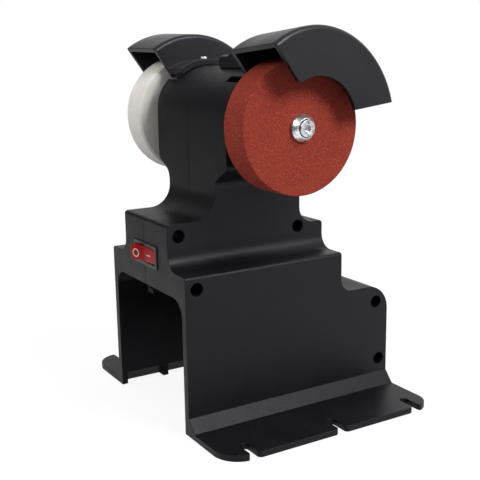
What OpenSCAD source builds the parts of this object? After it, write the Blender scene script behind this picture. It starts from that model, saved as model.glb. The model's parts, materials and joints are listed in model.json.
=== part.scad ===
// Cordless mini bench grinder: a two-part moulded housing that stands over a slide-in battery,
// with a double-ended motor, two wheels, two screwed-on guards and a rocker switch.
// X runs along the spindle, -Y is the front, +Z is up. The origin is under the middle, on the bench.

/* [Base] */
// Width over both bench flanges
base_w = 188; // [184:0.5:196]
// Depth of the base from front to rear
base_d = 145.6; // [145:0.1:147]
// Thickness of the bench flanges
flange_t = 3.7; // [3:0.1:4.4]
// Width of the open slots in the flanges
slot_w = 5; // [4:0.1:6]
// Reach of the slots in from the flange edge
slot_reach = 14; // [10:0.5:17]

/* [Housing] */
// Width of the lower body
body_w = 100; // [99:0.5:101]
// Height of the side ledges
ledge_h = 94.3; // [93.5:0.1:95.5]
// Width of the switch block above the ledges
block_w = 58.4; // [57:0.2:60]
// Height of the switch block in front of the neck
block_h = 120.7; // [120:0.1:122]
// Height of the housing behind the neck
rear_h = 111.5; // [110.5:0.1:112.5]
// Height of the low tail at the rear
tail_h = 69; // [68.4:0.1:70]
// General wall thickness of the mouldings
wall = 3.2; // [2.8:0.1:3.4]
// Depth of the neck and the motor head
neck_d = 59.8; // [59.4:0.1:60.4]

/* [Battery bay] */
// Width of the mouth of the battery bay
bay_w = 90; // [89:0.5:91]
// Height of the mouth of the battery bay
bay_h = 79.5; // [78.5:0.1:79.8]

/* [Motor head] */
// Height of the spindle above the bench
axis_z = 175; // [174.5:0.1:176]
// Radius of the rounded top of the motor head
head_r = 32.3; // [32.1:0.05:32.4]
// Length of the motor head
head_w = 86.4; // [86:0.1:87]
// Outer radius of the motor can
motor_r = 22.2; // [21.8:0.1:22.6]
// Radius of the spindle
spindle_r = 4; // [3.8:0.05:4.2]

/* [Wheels] */
// Diameter of the wheels
wheel_d = 75; // [70:0.5:76]
// Thickness of the wheels
wheel_t = 20.2; // [18:0.1:20.6]
// Distance from the middle of the housing to the inner face of each wheel
wheel_x = 54.1; // [53.8:0.1:54.4]

/* [Guards] */
// Outer radius of the guards
guard_r = 53.1; // [51.5:0.1:53.5]
// Distance from the middle to the outer face of each guard
guard_x = 89.3; // [87:0.1:90]
// Wall thickness of the guards
guard_t = 3; // [2.6:0.1:3.2]
// Angle of the front edge of the guards above the front horizontal
guard_front = 54.5; // [53:0.5:56]
// Turn of the right guard about the vertical, as it sits on its arm
guard_turn = 4.2; // [0:0.1:4.5]

/* [Switch] */
// Height of the middle of the rocker switch
switch_z = 98.5; // [98:0.1:99]
// Tilt of the rocker either side of level
rocker_tilt = 12; // [10:0.5:12.5]

/* [Hidden] */
$fn = 96;
eps = 0.01;

// Colours as the object shows them
c_case = [0.16, 0.16, 0.18];
c_guard = [0.2, 0.2, 0.22];
c_red = [0.62, 0.22, 0.17];
c_white = [0.86, 0.84, 0.82];
c_steel = [0.72, 0.73, 0.75];
c_copper = [0.72, 0.42, 0.22];

// Rocker: half its length, its middle thickness and the slope of its faces
rocker_half = 12.3;
rocker_h = 9.2;
rocker_mid = 4.45;
rocker_vee = 7;
pivot_depth = 3;
rocker_out = rocker_half * sin(rocker_tilt)
    + (rocker_mid + rocker_half * tan(rocker_vee)) * cos(rocker_tilt) - pivot_depth;

// Places along Y, from the front face of the base to its rear, with the rocker standing out
front_y = -(base_d - rocker_out) / 2;
rear_y = front_y + base_d;
axis_y = front_y + 61.6;
step_y = front_y + 108.6;

// Outer radii and fillets of the housing
edge_r = 2;
tail_r = 16;
tail_fillet = 8.5;
ledge_fillet = 9;
neck_front_fillet = 14;
neck_rear_fillet = 10;
shoulder_r = 25;
under_r = 8;
under_z = 137.6;
under_slope = 30;
head_low_r = 5;

// The inside of the battery bay
bay_r = 10;
bay_step_y = step_y - wall;
bay_low_h = tail_h - 3.4;
bay_end_y = rear_y - 21.8;
ceiling_z = bay_h + wall;

// The slope where each side wall runs out into its flange
foot_w = 6.5;
foot_h = 7.3;
foot_inner_w = 7;
foot_inner_h = 8;
foot_rim_d = 4;
foot_rib_y = front_y + 30;
foot_rib_t = 4;

// Middles of the bench slots along Y and the rounding of their mouths
slot_mouth_r = 2.5;
slot_at = [front_y + 17.3, front_y + 76.8, front_y + 132.8];

// The two halves meet on this plane
part_x = -2;

// Housing screws: place in Y and Z, and the side wall that each hole starts from
lower_x = body_w / 2;
block_x = block_w / 2;
housing_screw_at = [
    [front_y + 7.4, 86.6, lower_x],
    [front_y + 136.1, 58.5, lower_x],
    [front_y + 139, 19.8, lower_x],
    [front_y + 7.5, 113.3, block_x],
    [front_y + 90, 109.7, block_x]];
screw_seat_x = 8;
screw_end_x = -14;
screw_hole_r = 3.9;
screw_head_r = 3.2;
screw_head_t = 2.6;
screw_shank_r = 1.5;
screw_clear_r = 1.8;
screw_boss_r = 5.4;

// Motor, bearings and the rotor, along X from the middle
shaft_bore_r = spindle_r + 0.02;
can_half = 29;
can_t = 1.8;
bell_t = 2.5;
bearing_r = 11;
bearing_w = 7;
bearing_in_x = 29.7;
bell_boss_r = 13.5;
bell_boss_x = 37;
ball_r = 1.95;
ball_gap = 0.04;
ball_pitch_r = 7.5;
ball_count = 7;
outer_race_r = 9.2;
inner_race_r = 5.8;
core_r = 16.6;
core_x0 = -17;
core_x1 = 13;
winding_x0 = -21.5;
winding_x1 = 17.5;
comm_x0 = 18;
comm_x1 = 25;
comm_r = 7.5;
rotor_slots = 8;
slot_cut_w = 4.2;
magnet_r = 17.3;
brush_x = 21.5;
fan_x = -22;
fan_t = 1.2;
fan_r = 18;
fan_hub_r = 8.6;
fan_end_x = -27;
spindle_end_x = 69;
thread_r = 2.5;
thread_depth = 16;
hub_disc_r = 11;
hub_neck_r = 6.5;
hub_spigot_r = 4.97;
wheel_bore_r = 5;
head_hole_r = 9;
washer_r = 7.7;
washer_rim_t = 1.6;
washer_top_r = 5.4;
washer_seat = 2;
washer_t = 4.5;
wheel_screw_r = 4.7;
wheel_screw_t = 3.7;
cradle_x = 22;
cradle_t = 3;

// Guards
guard_edge_r = 2.7;
guard_taper = 1;
guard_cut = 1.2;
guard_shift_left = [0, 0.5, 0];
guard_shift_right = [0, 1.1, -1];
guard_lean = 3.6;
guard_bore_r = 29.5;
guard_low_r = 22;
guard_rear_z = 7.4;
guard_rear_lean = 6;
notch_y = -1.7;
notch_z = 1.1;
notch_r = 25.6;
tip_r = 2.5;
guard_plate_x = 50;
saddle_x = 29;
saddle_r = head_r + 0.35;
saddle_t = 2.9;
saddle_lip_t = 3.9;
saddle_lip_w = 2.2;
saddle_rear = 123;
collar_gap = 0.3;
collar_r0 = 28.6;
arm_end_x = -1.2;
arm_step_x = 12;
arm_half_d = 8.8;
arm_low_z = axis_z + 38.9;
arm_high_z = axis_z + 42.6;
arm_r = 3.2;
guard_screw_x = 35.5;
guard_head_r = 2.4;
guard_screw_a = 90;
arm_screw_x = 4.5;

// Vent windows at both ends of the motor head
vent_x = 29.2;
vent_r = 27;
vent_a0 = 49;
vent_a1 = 57.5;

// Rocker switch
bezel_w = 31;
bezel_h = 14;
bezel_t = 0.7;
switch_open_w = 27;
switch_open_h = 9.6;
switch_body_w = 28.6;
switch_body_h = 12;
switch_depth = 19;
switch_well = 12;
pivot_y = front_y + pivot_depth;
pivot_pin_r = 1.2;
pivot_hole_r = 1.26;

// Battery interface under the ceiling of the bay
plate_w = 66;
plate_y0 = front_y + 12;
plate_y1 = bay_step_y - 6;
plate_t = 3;
rail_gap = 44;
rail_drop = 9;
rail_t = 3;
rail_lip = 4;
block_y0 = plate_y1 - 26;
terminal_h = 11;
terminal_w = 40;
blade_x = [-14, 0, 14];
rail_screw_at = [for (x = [-27.5, 27.5], y = [plate_y0 + 8, plate_y1 - 8]) [x, y]];

// Wiring
lead_r = 1.1;
bend_r = 2;
lead_x = 7;
lead_dy = 12;
board_z = 88;
lead_z = 104;
lead_turn_x = 34.5;
lead_turn_z = 153.5;
lead_hole_r = lead_r + 0.3;
motor_lead_y = 12;
board_lead_x = 18;
brush_card_x = comm_x1 + 0.6;
brush_card_t = 2;
board_t = 1.6;

// A solid whose drawing in Y and Z is drawn out along X from x0 to x1
module along_x(x0, x1) {
    translate([x0, 0, 0]) rotate([90, 0, 90]) linear_extrude(x1 - x0) children();
}

// A solid whose drawing in X and Z is drawn out along Y from y0 to y1
module along_y(y0, y1) {
    translate([0, y1, 0]) rotate([90, 0, 0]) linear_extrude(y1 - y0) children();
}

// A round bar along X about the spindle
module spindle_bar(x0, x1, r) {
    translate([x0, axis_y, axis_z]) rotate([0, 90, 0]) cylinder(r = r, h = x1 - x0);
}

// A ring along X about the spindle
module spindle_ring(x0, x1, r_out, r_in) {
    difference() {
        spindle_bar(x0, x1, r_out);
        spindle_bar(x0 - 1, x1 + 1, r_in);
    }
}

// A drawing in radius and X turned about the spindle, from angle a0 to a1 over the top
module turned(a0, a1) {
    translate([0, axis_y, axis_z]) rotate([0, 90, 0]) rotate([0, 0, 270 - a1])
        rotate_extrude(angle = a1 - a0) children();
}

// A square with both top corners rounded
module top_round(w, h, r) {
    square([w, h - r]);
    translate([r, 0]) square([w - 2 * r, h]);
    translate([r, h - r]) circle(r);
    translate([w - r, h - r]) circle(r);
}

// The filling of an inner corner that points down and left
module corner_fill(r) {
    difference() {
        translate([-eps, -eps]) square(r + eps);
        translate([r, r]) circle(r);
    }
}

module both_sides() {
    children();
    mirror([1, 0, 0]) children();
}

// The flat-sided head with its rounded top seen from the side, drawn in by s
module head_outline(s) {
    half = neck_d / 2;
    in_y = half - shoulder_r;
    up = sqrt(pow(head_r - shoulder_r, 2) - in_y * in_y);
    reach = 3 * head_r / norm([in_y, up]);
    translate([axis_y - half + s, 0]) square([2 * (half - s), axis_z + up]);
    for (y = [-in_y, in_y]) translate([axis_y + y, axis_z + up]) circle(shoulder_r - s);
    translate([axis_y, axis_z]) intersection() {
        circle(head_r - s);
        polygon([[0, 0], [-in_y * reach, up * reach], [in_y * reach, up * reach]]);
    }
}

// The housing seen from the side, drawn in by s
module side_outline(s) {
    neck_half = neck_d / 2 - s;
    translate([front_y + s, 0]) top_round(axis_y - front_y, block_h - s, edge_r);
    translate([axis_y, 0]) top_round(step_y - s - axis_y, rear_h - s, edge_r);
    head_outline(s);
    translate([axis_y - neck_half, block_h - s]) mirror([1, 0]) corner_fill(neck_front_fillet + s);
    translate([axis_y + neck_half, rear_h - s]) corner_fill(neck_rear_fillet + s);
    translate([step_y - s, tail_h - s]) corner_fill(tail_fillet + s);
    translate([axis_y, 0]) square([rear_y - s - axis_y, tail_h - tail_r]);
    translate([axis_y, 0]) square([rear_y - tail_r - axis_y, tail_h - s]);
    translate([rear_y - tail_r, tail_h - tail_r]) circle(tail_r - s);
}

// Half of the housing seen from the front, drawn in by s
module front_half_outline(s) {
    neck_half = block_w / 2;
    head_half = head_w / 2;
    block_half = block_w / 2 - s;
    under = [neck_half + under_r, under_z];
    corner = [head_half - head_low_r,
        under_z + under_r * cos(under_slope) + head_low_r * cos(under_slope)
        + tan(under_slope) * (head_half - head_low_r + head_low_r * sin(under_slope)
        - (neck_half + under_r - under_r * sin(under_slope)))];
    translate([-body_w / 2 + s, 0]) top_round(body_w - 2 * s, ledge_h - s, edge_r);
    translate([block_half, ledge_h - s]) corner_fill(ledge_fillet + s);
    square([block_half, under_z + 1]);
    difference() {
        polygon([[0, under[1]], under,
            under + (under_r + s) * [-sin(under_slope), cos(under_slope)],
            corner + (head_low_r - s) * [sin(under_slope), -cos(under_slope)],
            corner, [corner[0] + head_low_r - s, corner[1]], [0, corner[1]]]);
        translate(under) circle(under_r + s);
    }
    translate(corner) circle(head_low_r - s);
    translate([0, corner[1]]) square([head_half - s, axis_z + head_r - corner[1]]);
}

module front_outline(s) {
    front_half_outline(s);
    mirror([1, 0]) front_half_outline(s);
}

// The housing without flanges, drawn in by s on every side
module case_form(s) {
    intersection() {
        along_x(-body_w, body_w) side_outline(s);
        along_y(2 * front_y, 2 * rear_y) front_outline(s);
    }
}

// The foot of one side wall with its bench flange
module flange_outline() {
    out = base_w / 2;
    front_r = 16;
    rear_r = 12;
    translate([body_w / 2 - wall, front_y]) square([out - front_r - body_w / 2 + wall, base_d]);
    translate([out - front_r, front_y + front_r]) circle(front_r);
    translate([out - front_r, front_y + front_r])
        square([front_r, base_d - front_r - rear_r]);
    translate([out - rear_r, rear_y - rear_r]) circle(rear_r);
    translate([out - front_r, rear_y - 2 * rear_r]) square([front_r - rear_r, 2 * rear_r]);
}

module flange() {
    slot_end = base_w / 2 - slot_reach + slot_w / 2;
    linear_extrude(flange_t) difference() {
        flange_outline();
        for (y = slot_at) {
            translate([slot_end, y]) circle(slot_w / 2);
            translate([slot_end, y - slot_w / 2]) square([slot_reach, slot_w]);
            translate([base_w / 2, y]) for (s = [0, 1]) mirror([0, s])
                translate([0, slot_w / 2]) mirror([1, 0]) corner_fill(slot_mouth_r);
        }
    }
    along_y(front_y, rear_y) polygon([[body_w / 2 - wall, flange_t / 2],
        [body_w / 2 + foot_w, flange_t / 2], [body_w / 2 + foot_w, flange_t],
        [body_w / 2, flange_t + foot_h], [body_w / 2 - wall, flange_t + foot_h]]);
}

// The space for the battery, open at the front and below
module bay_space() {
    along_y(front_y - 1, bay_step_y)
        translate([-bay_w / 2, -1]) top_round(bay_w, bay_h + 1, bay_r);
    along_y(bay_step_y - 1, bay_end_y)
        translate([-bay_w / 2, -1]) square([bay_w, bay_low_h + 1]);
    both_sides() {
        along_y(front_y + foot_rim_d, foot_rib_y) foot_space();
        along_y(foot_rib_y + foot_rib_t, bay_end_y) foot_space();
    }
}

module foot_space() {
    edge = bay_w / 2;
    polygon([[edge - 1, foot_inner_h], [edge, foot_inner_h], [edge + foot_inner_w, 0],
        [edge + foot_inner_w, -1], [edge - 1, -1]]);
}

// The chambers above and behind the bay
module inner_chambers() {
    intersection() {
        case_form(wall);
        union() {
            translate([-body_w, 2 * front_y, ceiling_z])
                cube([2 * body_w, 4 * rear_y, axis_z + head_r]);
            translate([-body_w, bay_end_y + wall, wall])
                cube([2 * body_w, rear_y, bay_low_h]);
        }
    }
}

module screw_bosses(x0, x1) {
    for (s = housing_screw_at) {
        translate([max(x0, -s[2] + 1), s[0], s[1]]) rotate([0, 90, 0])
            cylinder(r = screw_boss_r, h = min(x1, s[2] - 1) - max(x0, -s[2] + 1));
    }
}

module screw_holes() {
    for (s = housing_screw_at) {
        translate([screw_seat_x, s[0], s[1]]) rotate([0, 90, 0])
            cylinder(r = screw_hole_r, h = s[2]);
        translate([screw_end_x, s[0], s[1]]) rotate([0, 90, 0])
            cylinder(r = screw_shank_r, h = screw_seat_x - screw_end_x + 1);
        translate([part_x, s[0], s[1]]) rotate([0, 90, 0])
            cylinder(r = screw_clear_r, h = screw_seat_x - part_x + 1);
    }
}

// Two ribs inside the head that hold the motor can, notched for the leads
module cradles() {
    intersection() {
        case_form(wall / 2);
        both_sides() difference() {
            spindle_bar(cradle_x - cradle_t / 2, cradle_x + cradle_t / 2, head_r);
            spindle_bar(0, body_w, motor_r);
            for (y = [-motor_lead_y, motor_lead_y]) translate([0, axis_y + y - 2.5, lead_turn_z - 6])
                cube([body_w, 5, 9]);
        }
    }
}

// The windows at the ends of the head, front and rear
module vents() {
    both_sides() {
        turned(vent_a0, vent_a1) translate([vent_r, vent_x]) square([10, head_w]);
        turned(180 - vent_a1, 180 - vent_a0) translate([vent_r, vent_x]) square([10, head_w]);
    }
}

module switch_cutout() {
    translate([-switch_body_w / 2 - 0.1, front_y - 1, switch_z - switch_body_h / 2 - 0.1])
        cube([switch_body_w + 0.2, wall + 4, switch_body_h + 0.2]);
}

// Pilot holes and posts for the guard screws in the crown of the head
module guard_screw_hole(x, a, r, r0, r1) {
    translate([x, axis_y, axis_z]) rotate([90 - a, 0, 0]) translate([0, 0, r0])
        cylinder(r = r, h = r1 - r0);
}

module crown_posts() {
    intersection() {
        case_form(wall / 2);
        union() {
            guard_screw_hole(-guard_screw_x, guard_screw_a, 4.2, motor_r + 3, head_r);
            guard_screw_hole(arm_screw_x, 90, 4.2, motor_r + 0.3, head_r);
        }
    }
}

module crown_holes() {
    guard_screw_hole(-guard_screw_x, guard_screw_a, screw_shank_r, motor_r + 2, head_r + 2);
    guard_screw_hole(arm_screw_x, 90, screw_shank_r, motor_r, head_r + 2);
}

module rail_screw_holes() {
    for (p = rail_screw_at) translate([p[0], p[1], bay_h - 1]) cylinder(r = screw_shank_r, h = 8);
}

module lead_holes() {
    for (x = [-lead_x, lead_x]) translate([x, block_y0 + lead_dy, bay_h - 1])
        cylinder(r = 2 * lead_r, h = wall + 2);
}

// The whole housing before it is parted, with everything moulded into it
module housing() {
    difference() {
        union() {
            difference() {
                union() {
                    case_form(0);
                    both_sides() flange();
                }
                inner_chambers();
            }
            intersection() {
                screw_bosses(-body_w, body_w);
                case_form(wall / 2);
            }
            cradles();
            crown_posts();
        }
        bay_space();
        screw_holes();
        crown_holes();
        vents();
        switch_cutout();
        rail_screw_holes();
        lead_holes();
        spindle_bar(-body_w, body_w, head_hole_r);
    }
}

module housing_left() {
    color(c_case) intersection() {
        housing();
        translate([-base_w, -base_d, -1]) cube([base_w + part_x, 2 * base_d, 2 * axis_z]);
    }
}

module housing_right() {
    color(c_case) intersection() {
        housing();
        translate([part_x, -base_d, -1]) cube([base_w, 2 * base_d, 2 * axis_z]);
    }
}

// A screw along X with its head towards +X and a cross recess
module housing_screws() {
    color(c_steel) for (s = housing_screw_at) {
        translate([screw_seat_x, s[0], s[1]]) rotate([0, 90, 0]) difference() {
            union() {
                cylinder(r = screw_head_r, h = screw_head_t);
                translate([0, 0, screw_end_x - screw_seat_x + 1])
                    cylinder(r = screw_shank_r, h = screw_seat_x - screw_end_x);
            }
            cross_recess(3.6, 0.8, screw_head_t, 1.4);
        }
    }
}

module cross_recess(w, t, top, depth) {
    for (a = [0, 90]) rotate(a)
        translate([-w / 2, -t / 2, top - depth]) cube([w, t, depth + 1]);
}

// The plate and the two rails that the battery slides on to
module battery_rail_plate() {
    top = bay_h;
    color([0.13, 0.13, 0.14]) difference() {
        union() {
            translate([-plate_w / 2, plate_y0, top - plate_t])
                cube([plate_w, plate_y1 - plate_y0, plate_t]);
            both_sides() {
                translate([rail_gap / 2, plate_y0, top - plate_t - rail_drop])
                    cube([rail_t, plate_y1 - plate_y0, rail_drop + eps]);
                translate([rail_gap / 2 - rail_lip, plate_y0, top - plate_t - rail_drop])
                    cube([rail_lip + eps, plate_y1 - plate_y0 - 30, rail_t]);
            }
        }
        for (p = rail_screw_at) {
            translate([p[0], p[1], top - plate_t - 1]) cylinder(r = screw_shank_r, h = plate_t + 2);
            translate([p[0], p[1], top - plate_t - 1]) cylinder(r = 3, h = 2.6);
        }
        for (x = [-lead_x, lead_x]) translate([x, block_y0 + lead_dy, top - plate_t - 1])
            cylinder(r = 2 * lead_r, h = plate_t + 2);
    }
}

module rail_plate_screws() {
    top = bay_h - plate_t + 1.6;
    color(c_steel) for (p = rail_screw_at) translate([p[0], p[1], top]) difference() {
        union() {
            translate([0, 0, -1.6]) cylinder(r = 2.9, h = 1.6);
            cylinder(r = screw_shank_r, h = wall + 1);
        }
        translate([0, 0, -1.6]) mirror([0, 0, 1]) cross_recess(3.2, 0.7, 0, 0.9);
    }
}

// The moulded block that holds the battery contacts
module terminal_block() {
    top = bay_h - plate_t;
    color([0.1, 0.1, 0.11]) difference() {
        translate([-terminal_w / 2, block_y0, top - terminal_h])
            cube([terminal_w, 24, terminal_h]);
        for (x = blade_x) translate([x - 0.4, block_y0 - 1, top - 8]) cube([0.8, 13, 6]);
        for (x = [-lead_x, lead_x]) translate([x, block_y0 + lead_dy, top - 5])
            cylinder(r = lead_hole_r, h = 6);
    }
}

module terminal_blades() {
    top = bay_h - plate_t;
    color([0.78, 0.66, 0.36]) for (x = blade_x)
        translate([x - 0.4, block_y0 - 9, top - 8]) cube([0.8, 20, 6]);
}

// The switch's bezel and case, sunk in the front wall
module switch_body() {
    color([0.09, 0.09, 0.1]) translate([0, front_y, switch_z]) difference() {
        union() {
            translate([-bezel_w / 2, -bezel_t, -bezel_h / 2]) cube([bezel_w, bezel_t, bezel_h]);
            translate([-switch_body_w / 2, -eps, -switch_body_h / 2])
                cube([switch_body_w, switch_depth, switch_body_h]);
        }
        translate([-switch_open_w / 2, -bezel_t - 1, -switch_open_h / 2])
            cube([switch_open_w, bezel_t + switch_well + 1, switch_open_h]);
        translate([0, pivot_y - front_y, -switch_body_h / 2 + 0.2])
            cylinder(r = pivot_hole_r, h = switch_body_h - 0.4);
        for (x = [-7, 7]) translate([x - 0.4, switch_well + 1, -3.15])
            cube([0.8, switch_depth, 6.3]);
    }
}

// The rocker, seen from above about its pivot, before it is tilted
module rocker_outline() {
    rise = rocker_half * tan(rocker_vee);
    polygon([[-rocker_half, 0.5], [-rocker_half, -rocker_mid - rise], [0, -rocker_mid],
        [rocker_half, -rocker_mid - rise], [rocker_half, 0.5], [5, 3.4], [-5, 3.4]]);
}

// The rocker is held tilted: its left end stands out and its right end is pressed in
module rocker_pose() {
    translate([0, pivot_y, switch_z]) rotate([0, 0, rocker_tilt]) children();
}

module switch_rocker() {
    color([0.75, 0.1, 0.12]) rocker_pose() {
        translate([0, 0, -rocker_h / 2]) linear_extrude(rocker_h) rocker_outline();
        translate([0, 0, -rocker_h / 2 - 0.7]) cylinder(r = pivot_pin_r, h = rocker_h + 1.4);
    }
}

// The spring plunger under the rocker
module rocker_plunger() {
    color(c_steel) rocker_pose() translate([0, 3.4, 0]) rotate([-90, 0, 0])
        cylinder(r = 1.2, h = 4);
}

module switch_terminals() {
    color([0.8, 0.7, 0.45]) for (x = [-7, 7])
        translate([x - 0.4, front_y + switch_well + 1, switch_z - 3.15]) difference() {
            cube([0.8, 14, 6.3]);
            translate([-1, 11, 3.15]) rotate([0, 90, 0]) cylinder(r = 0.9, h = 3);
        }
}

// The battery protection board on the floor of the upper chamber
module control_board() {
    color([0.1, 0.35, 0.18]) difference() {
        translate([-22, axis_y - 26, board_z]) cube([44, 42, board_t]);
        for (x = [-19, 19], y = [-23, 13]) translate([x, axis_y + y, board_z - 1])
            cylinder(r = 1.6, h = 4);
    }
    color([0.12, 0.12, 0.13]) for (x = [-19, 19], y = [-23, 13])
        translate([x, axis_y + y, ceiling_z]) cylinder(r = 2.6, h = board_z - ceiling_z);
}

module board_parts() {
    color([0.2, 0.2, 0.22]) {
        translate([-12, axis_y - 18, board_z + board_t]) cylinder(r = 4, h = 11);
        translate([6, axis_y - 20, board_z + board_t]) cube([10, 4.5, 13]);
        translate([-4, axis_y - 6, board_z + board_t]) cube([8, 6, 1.8]);
    }
}

// A round wire through corner points that run along X, Y or Z, with rounded corners
module wire(points) {
    last = len(points) - 1;
    way = [for (i = [0:last - 1]) (points[i + 1] - points[i]) / norm(points[i + 1] - points[i])];
    for (i = [0:last - 1]) {
        start = points[i] + (i > 0 ? bend_r : 0) * way[i];
        run = norm(points[i + 1] - points[i]) - (i > 0 ? bend_r : 0) - (i < last - 1 ? bend_r : 0);
        translate(start) rotate([0, acos(way[i][2]), atan2(way[i][1], way[i][0])])
            cylinder(r = lead_r, h = run);
    }
    for (i = [1:last - 1]) {
        a = -way[i];
        b = way[i - 1];
        n = cross(a, b);
        c = points[i] - bend_r * (a + b);
        multmatrix([[a[0], b[0], n[0], c[0]], [a[1], b[1], n[1], c[1]], [a[2], b[2], n[2], c[2]]])
            rotate_extrude(angle = 90) translate([bend_r, 0]) circle(lead_r);
    }
}

// From the contact block up through the ceiling, one to the switch and one to the board
module battery_leads() {
    low = bay_h - plate_t - 4.8;
    lead_y = block_y0 + lead_dy;
    turn_y = front_y + 34;
    color([0.7, 0.1, 0.1]) {
        wire([[-lead_x, lead_y, low], [-lead_x, lead_y, lead_z], [-lead_x, turn_y, lead_z],
            [-lead_x, turn_y, switch_z], [-lead_x, front_y + switch_well + 15.2, switch_z]]);
        wire([[lead_x, lead_y, low], [lead_x, lead_y, lead_z], [lead_x, axis_y + 12, lead_z],
            [lead_x, axis_y + 12, board_z + board_t]]);
    }
}

// From the brush ring through the end bell and down the neck to the board
module motor_leads() {
    lead_end_z = axis_z - motor_lead_y;
    color([0.12, 0.12, 0.13]) for (y = [-motor_lead_y, motor_lead_y])
        wire([[brush_card_x + brush_card_t + 0.1, axis_y + y, lead_end_z],
            [lead_turn_x, axis_y + y, lead_end_z], [lead_turn_x, axis_y + y, lead_turn_z],
            [board_lead_x, axis_y + y, lead_turn_z], [board_lead_x, axis_y + y, board_z + board_t]]);
}

module motor_can() {
    color(c_steel) spindle_ring(-can_half, can_half, motor_r, motor_r - can_t);
}

// Two arc magnets glued inside the can
module motor_magnets() {
    color([0.25, 0.25, 0.27]) for (a = [25, 205])
        turned(a, a + 130) translate([magnet_r, core_x0 - 1]) square([motor_r - can_t - magnet_r,
            core_x1 - core_x0 + 2]);
}

module motor_bell(lead_holes) {
    color([0.6, 0.61, 0.63]) difference() {
        union() {
            spindle_bar(can_half, can_half + bell_t, motor_r);
            spindle_bar(can_half, bell_boss_x, bell_boss_r);
        }
        spindle_bar(bearing_in_x, bell_boss_x + 1, bearing_r);
        spindle_bar(0, bell_boss_x, hub_neck_r + 2);
        if (lead_holes) for (y = [-motor_lead_y, motor_lead_y])
            translate([can_half - 1, axis_y + y, axis_z - motor_lead_y]) rotate([0, 90, 0])
                cylinder(r = lead_hole_r, h = bell_t + 2);
    }
}

module motor_bell_right() { motor_bell(true); }
module motor_bell_left() { mirror([1, 0, 0]) motor_bell(false); }

// The insulating ring behind the commutator that carries the brush holders
module brush_card() {
    color([0.3, 0.2, 0.12]) spindle_ring(brush_card_x, brush_card_x + brush_card_t,
        motor_r - can_t - 0.05, comm_r + 1);
}

module brush_box(w, r0, r1) {
    for (s = [-1, 1]) translate([brush_x - w / 2, axis_y + (s > 0 ? r0 : -r1), axis_z - w / 2])
        cube([w, r1 - r0, w]);
}

module brush_holders() {
    color([0.78, 0.66, 0.36]) difference() {
        for (s = [-1, 1]) translate([brush_x - 3.2, axis_y + (s > 0 ? 9.5 : -19), axis_z - 3.2])
            cube([brush_card_x - brush_x + 3.2, 9.5, 6.4]);
        brush_box(4.8, 9, 18);
    }
}

module brushes() {
    color([0.2, 0.2, 0.2]) brush_box(4.7, comm_r + 0.05, 13.5);
}

// A coil of n turns along +Z, as rings of points joined by faces
function coil_point(t, n, r, pitch, side, wire_r, sides) =
    let (a = 360 * t, b = 360 * side / sides)
    [(r + wire_r * cos(b)) * cos(a), (r + wire_r * cos(b)) * sin(a), pitch * t + wire_r * sin(b)];

module coil(n, r, pitch, wire_r, steps, sides) {
    rings = n * steps;
    points = [for (i = [0:rings]) for (j = [0:sides - 1])
        coil_point(i / steps, n, r, pitch, j, wire_r, sides)];
    walls = [for (i = [0:rings - 1]) for (j = [0:sides - 1])
        let (k = (j + 1) % sides)
        [i * sides + j, i * sides + k, (i + 1) * sides + k, (i + 1) * sides + j]];
    polyhedron(points, concat([[for (j = [0:sides - 1]) sides - 1 - j]],
        walls, [[for (j = [0:sides - 1]) rings * sides + j]]));
}

// A spring behind each brush, inside its holder
module brush_springs() {
    color(c_steel) for (s = [-1, 1]) translate([brush_x, axis_y + s * 13.85, axis_z])
        rotate([s > 0 ? -90 : 90, 0, 0]) coil(5, 1.6, 0.75, 0.25, 10, 6);
}

module bearing_outer_rings() {
    x1 = bearing_in_x + bearing_w;
    mid = bearing_in_x + bearing_w / 2;
    color(c_steel) both_sides() difference() {
        spindle_ring(bearing_in_x, x1, bearing_r, outer_race_r);
        turned(0, 360) translate([ball_pitch_r, mid]) circle(ball_r + ball_gap, $fn = 48);
    }
}

module bearing_inner_rings() {
    x1 = bearing_in_x + bearing_w;
    mid = bearing_in_x + bearing_w / 2;
    color(c_steel) both_sides() difference() {
        spindle_ring(bearing_in_x, x1, inner_race_r, shaft_bore_r);
        turned(0, 360) translate([ball_pitch_r, mid]) circle(ball_r + ball_gap, $fn = 48);
    }
}

module bearing_balls() {
    mid = bearing_in_x + bearing_w / 2;
    color([0.85, 0.86, 0.88]) both_sides() for (i = [0:ball_count - 1])
        translate([mid, axis_y, axis_z]) rotate([i * 360 / ball_count, 0, 0])
            translate([0, ball_pitch_r, 0]) sphere(ball_r, $fn = 32);
}

// The shaft, threaded inside at both ends
module spindle() {
    color(c_steel) difference() {
        spindle_bar(-spindle_end_x, spindle_end_x, spindle_r);
        both_sides() spindle_bar(spindle_end_x - thread_depth, spindle_end_x + 1, thread_r);
    }
}

module rotor_slot(x0, x1, i, grow) {
    translate([0, axis_y, axis_z]) rotate([i * 360 / rotor_slots, 0, 0])
        translate([x0, -slot_cut_w / 2 + grow, 8 + grow])
            cube([x1 - x0, slot_cut_w - 2 * grow, 6.5 - 2 * grow]);
}

// The laminated core with its winding slots
module armature_core() {
    color([0.45, 0.46, 0.48]) difference() {
        spindle_ring(core_x0, core_x1, core_r, shaft_bore_r);
        for (i = [0:rotor_slots - 1]) {
            rotor_slot(core_x0 - 1, core_x1 + 1, i, 0);
            translate([0, axis_y, axis_z]) rotate([i * 360 / rotor_slots, 0, 0])
                translate([core_x0 - 1, -0.8, 12]) cube([core_x1 - core_x0 + 2, 1.6, 10]);
        }
    }
}

module armature_winding() {
    color(c_copper) {
        spindle_ring(winding_x0, core_x0, 14.4, spindle_r + 2);
        spindle_ring(core_x1, winding_x1, 14.4, spindle_r + 2);
        for (i = [0:rotor_slots - 1]) rotor_slot(core_x0 - 1, core_x1 + 1, i, 0.2);
    }
}

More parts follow.
